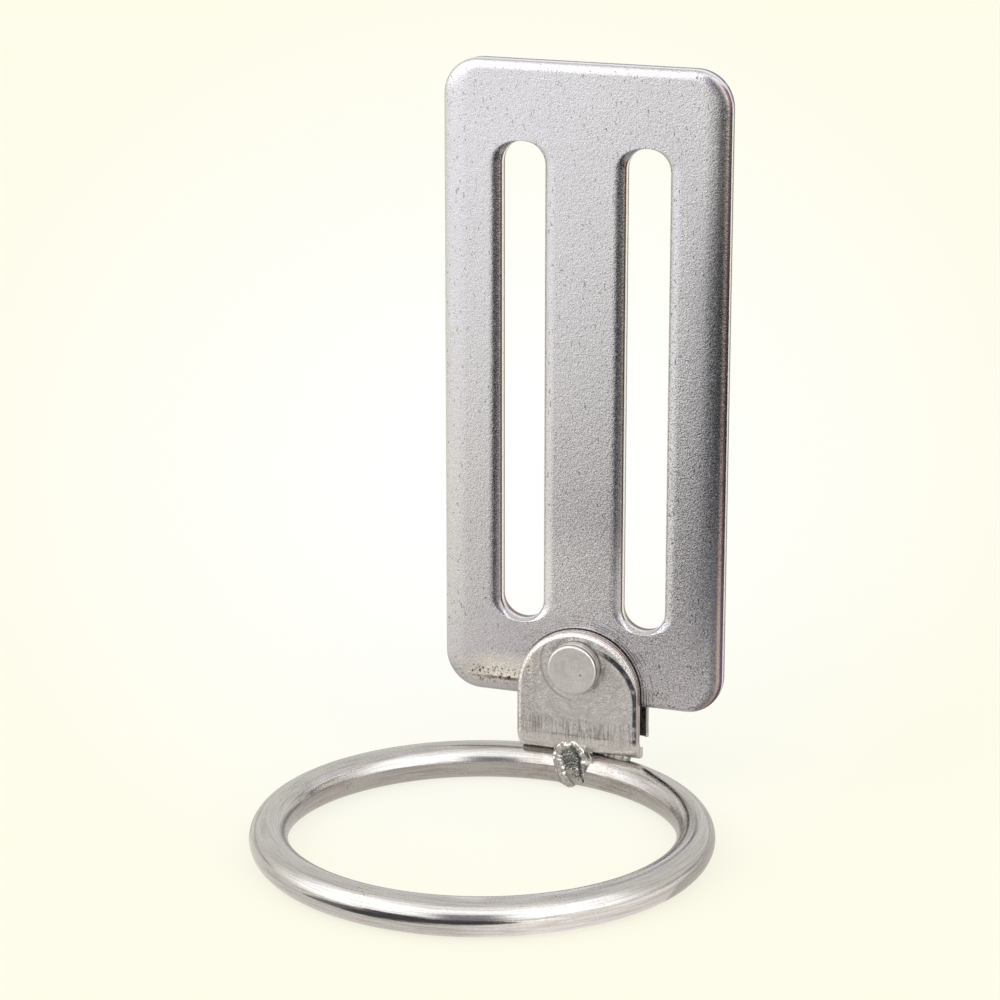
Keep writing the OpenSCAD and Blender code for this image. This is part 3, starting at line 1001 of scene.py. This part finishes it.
def make_rear_weld():
    """Bead along the back of the joint, laid as overlapping drops."""
    path_r = RING_R + BEAD_R
    half = BEAD_LENGTH / path_r / 2
    rows, sides = 120, 40
    verts = []
    for i in range(rows + 1):
        u = -1 + 2 * i / rows
        a = math.pi / 2 - RING_TURN + u * half
        past_end = max(0.0, 1 - (1 - abs(u)) * BEAD_LENGTH / 2 / BEAD_R)
        end = math.sqrt(max(0.0, 1 - past_end ** 2))
        drop = (i * BEAD_DROPS / rows) % 1
        r = BEAD_R * max(end, 0.02) * (0.94 + 0.06 * math.sin(math.pi * drop))
        out = Vector((math.cos(a), math.sin(a), 0))
        for j in range(sides):
            b = 2 * math.pi * j / sides
            wobble = 1 + 0.05 * noise.noise(Vector((u * 9, math.cos(b) * 1.5, math.sin(b) * 1.5)))
            rr = min(r * wobble, 1.04 * BEAD_R)
            up = Vector((0, 0, WIRE_R + rr * math.sin(b)))
            verts.append(ring_mid + out * (path_r + rr * math.cos(b)) + up)
    faces = []
    for i in range(rows):
        for j in range(sides):
            k = (j + 1) % sides
            faces.append((i * sides + j, i * sides + k, (i + 1) * sides + k, (i + 1) * sides + j))
    faces.append(tuple(range(sides)))
    faces.append(tuple(rows * sides + j for j in reversed(range(sides))))
    weld = add_piece("weld_rear_bead", verts, faces, weld_metal, BODY_OF_RING, "rear_weld",
                     180)
    add_soot_and_shade(weld, [0.35] * len(weld.data.vertices))


make_plate()
make_bracket()
make_rivet()
make_ring()
make_front_weld()
make_rear_weld()


# Stage, lamps and camera

VIEW_TURN = math.radians(19.98)
VIEW_RISE = math.radians(16.154)
VIEW_DISTANCE = 462.756 * MM
VIEW_TARGET = Vector((-6.976 * MM, plate_lo.y, 39.43 * MM))
LENS = 124.97

FLOOR_HALF = 4000 * MM

# The paper is whitest behind the object and turns to cream further out, a painted pool of light; lengths in
# plain millimetres
PAPER_NEAR = 420
PAPER_WHITE = 74
PAPER_GRAIN = 2.5
CREAM, WHITE = (0.982, 0.973, 0.823), (1.0, 1.0, 1.0)

# The tent's light in front, behind, in its opening and along its hem, and what the camera sees
TENT_FRONT = (1.85, 1.85, 1.85)
TENT_BACK = (0.88, 0.87, 0.84)
TENT_OPENING = (0.30, 0.29, 0.33)
TENT_HEM = (0.10, 0.085, 0.14)
BACKDROP = (0.98, 0.97, 0.90)

# Soft boxes: name, azimuth and elevation in degrees
BOXES = (("front_left_box", -48, 30), ("front_right_box", 64, 28))
BOX_SIZE = (600 * MM, 500 * MM)
BOX_RADIANCE = 0.25
BOX_DISTANCE = 600 * MM
BOX_TARGET = Vector((0, 10 * MM, 40 * MM))

# Cards: name, azimuths in degrees, distances and heights in millimetres, colour, far level, fade
LOW, LYING = (0.2, 0.2), (0.4, 0.4)
BLACK, GLOOM = (0.08, 0.077, 0.075), (0.05, 0.05, 0.055)
CARDS = (
    ("card_inside", (-180, 180), (0, 50), LOW, (0.66, 0.63, 0.59)),
    ("card_near_right", (4, 84), (42, 75), (0.3, 0.3), (0.95, 0.92, 0.88), 2.3, 14),
    ("card_under", (-180, 180), (50, 85), LOW, (0.90, 0.87, 0.82)),
    ("card_front_near", (-15, 15), (58.5, 85), LYING, BLACK),
    ("card_front_mid", (-15, 24), (85, 160), LYING, BLACK),
    ("card_front_far", (-7, 62), (160, 600), LYING, GLOOM),
    ("card_lens_foot", (-24, -15), (58.5, 115), LYING, (0.20, 0.19, 0.19)),
    ("card_lens", (-24, -3), (115, 115), (0, 11), (0.03, 0.025, 0.07)),
    ("card_right_bright", (28, 95), (58.5, 105), LYING, (1.3, 1.27, 1.22)),
    ("card_right_gloom", (24, 62), (105, 160), LYING, GLOOM),
    ("card_right_warm", (62, 82), (105, 600), LYING, (0.45, 0.35, 0.28)),
    ("card_right_dark", (82, 134), (105, 600), LYING, (0.03, 0.022, 0.035)),
    ("card_left_bright", (-62, -14), (200, 1600), LYING, (1.11, 1.11, 1.15)),
)
CARD_STEPS = 12
STAGE_MID = Vector((4 * MM, 25 * MM, 0))


def add_thing(name, data):
    thing = bpy.data.objects.new(name, data)
    bpy.context.scene.collection.objects.link(thing)
    return thing


def outwards(azimuth, rise):
    """The way from the object to a place: azimuth 0 is in front and + to the right."""
    level = math.cos(rise)
    return Vector((math.sin(azimuth) * level, -math.cos(azimuth) * level, math.sin(rise)))


def paper_colour(s):
    """A painted pool of light: white behind the object, as seen from the camera, and cream round that."""
    x, y = s.axes(s.placed(s.where, (1, 1, 1), (0, 0, -VIEW_TURN)))[:2]
    nearness = s.maths("DIVIDE", PAPER_NEAR, s.plus(y, PAPER_NEAR))
    across = s.times(x, nearness, 1 / PAPER_WHITE)
    along = s.times(s.minus(nearness, 0.70), 1 / 0.40)
    white_part = s.ramp(s.length(across, along), [(0.15, 0.0), (0.98, 1.0)], False)
    paper = s.mix(white_part, WHITE, CREAM)
    fibres = s.scale_to(s.grain(PAPER_GRAIN, 3), 0.0, 0.01)
    return s.mix(fibres, paper, (0.8, 0.8, 0.78))


def make_stage():
    s = Surface("floor_paper")
    paper = paper_colour(s)
    path = s.add("ShaderNodeLightPath")
    seen = s.maths("MAXIMUM", path.outputs["Is Camera Ray"], path.outputs["Is Glossy Ray"])
    seen = s.maths("MAXIMUM", seen, path.outputs["Is Transmission Ray"])
    lit = s.add("ShaderNodeBsdfDiffuse", {"Color": s.mix(1.0, paper, (0.84, 0.84, 0.84), "MULTIPLY")})
    glow = s.add("ShaderNodeEmission", {"Color": paper, "Strength": 1.0})
    shares = {0: s.times(seen, 0.8), 1: lit.outputs[0], 2: glow.outputs[0]}
    material = s.output(s.add("ShaderNodeMixShader", shares))
    mesh = bpy.data.meshes.new("floor")
    corners = [(x * FLOOR_HALF, y * FLOOR_HALF, 0) for x, y in ((-1, -1), (1, -1), (1, 1), (-1, 1))]
    mesh.from_pydata(corners, [], [(0, 1, 2, 3)])
    mesh.materials.append(material)
    add_thing("floor", mesh)


def on_stage(azimuth, distance, height):
    """A place round the object: azimuth in degrees, distance and height in millimetres."""
    a = math.radians(azimuth)
    return STAGE_MID + Vector((math.sin(a) * distance, -math.cos(a) * distance, height)) * MM


def add_card(name, azimuths, distances, heights, colour, far_level=1.0, fade_degrees=1.0):
    """Card that only reflections see, as a photographer sets beside bright metal.

    It runs between two azimuths, from a near distance and height to a far distance and height. Its light
    grows over its first degrees to far_level times the colour.
    """
    s = Surface(name)
    level = s.add("ShaderNodeAttribute", attribute_name="level").outputs["Fac"]
    material = s.output(s.add("ShaderNodeEmission", {"Color": (*colour, 1), "Strength": level}))
    verts, faces, levels = [], [], []
    for i in range(CARD_STEPS + 1):
        azimuth = azimuths[0] + (azimuths[1] - azimuths[0]) * i / CARD_STEPS
        verts += [on_stage(azimuth, distances[0], heights[0]), on_stage(azimuth, distances[1], heights[1])]
        levels += [1.0, 1 + (far_level - 1) * min(1, (azimuth - azimuths[0]) / fade_degrees)]
        if i:
            faces.append((2 * i - 2, 2 * i - 1, 2 * i + 1, 2 * i))
    mesh = bpy.data.meshes.new(name)
    mesh.from_pydata(verts, [], faces)
    mesh.materials.append(material)
    layer = mesh.attributes.new("level", "FLOAT", "POINT")
    layer.data.foreach_set("value", levels)
    card = add_thing(name, mesh)
    card.visible_camera = False
    card.visible_diffuse = False
    card.visible_shadow = False


def add_box(name, azimuth, rise):
    """Soft box that faces the object."""
    lamp = bpy.data.lights.new(name, "AREA")
    lamp.shape = "RECTANGLE"
    lamp.size, lamp.size_y = BOX_SIZE
    lamp.energy = BOX_RADIANCE * math.pi * BOX_SIZE[0] * BOX_SIZE[1]
    box = add_thing(name, lamp)
    way = outwards(math.radians(azimuth), math.radians(rise))
    box.location = BOX_TARGET + way * BOX_DISTANCE
    box.rotation_euler = (-way).to_track_quat("-Z", "Y").to_euler()
    box.visible_camera = False


def make_world():
    """A white tent round the object: bright in front, dark where the camera stands in its opening."""
    world = bpy.data.worlds.new("studio_tent")
    bpy.context.scene.world = world
    s = Nodes(world)
    x, y, z = s.axes(s.add("ShaderNodeTexCoord").outputs["Generated"])
    azimuth = s.times(s.maths("ARCTAN2", x, s.times(y, -1.0)), 180 / math.pi)
    rise = s.times(s.maths("ARCSINE", z), 180 / math.pi)
    front = s.times(s.band(azimuth, -84, 96, 24), s.band(rise, -90, 66, 26))
    opening = s.times(s.band(azimuth, -3, 30, 7), s.band(rise, -90, 33, 9))
    hem = s.times(s.band(rise, -90, 3.2, 1.2), s.minus(1.0, s.band(azimuth, -97, 102, 6)), 0.8)
    tent = s.mix(front, TENT_BACK, TENT_FRONT)
    tent = s.mix(opening, tent, TENT_OPENING)
    tent = s.mix(hem, tent, TENT_HEM)
    seen = s.add("ShaderNodeLightPath").outputs["Is Camera Ray"]
    background = s.add("ShaderNodeBackground", {"Color": s.mix(seen, tent, BACKDROP)})
    s.add("ShaderNodeOutputWorld", {"Surface": background.outputs[0]})


def make_camera():
    camera = bpy.data.cameras.new("camera")
    camera.sensor_width = 36
    camera.lens = LENS
    camera.clip_start = 10 * MM
    thing = add_thing("camera", camera)
    back = outwards(VIEW_TURN, VIEW_RISE)
    thing.location = VIEW_TARGET + back * VIEW_DISTANCE
    thing.rotation_euler = (-back).to_track_quat("-Z", "Y").to_euler()
    bpy.context.scene.camera = thing


make_stage()
make_world()
for box in BOXES:
    add_box(*box)
for card in CARDS:
    add_card(*card)
make_camera()
bpy.context.scene.view_settings.view_transform = "Standard"
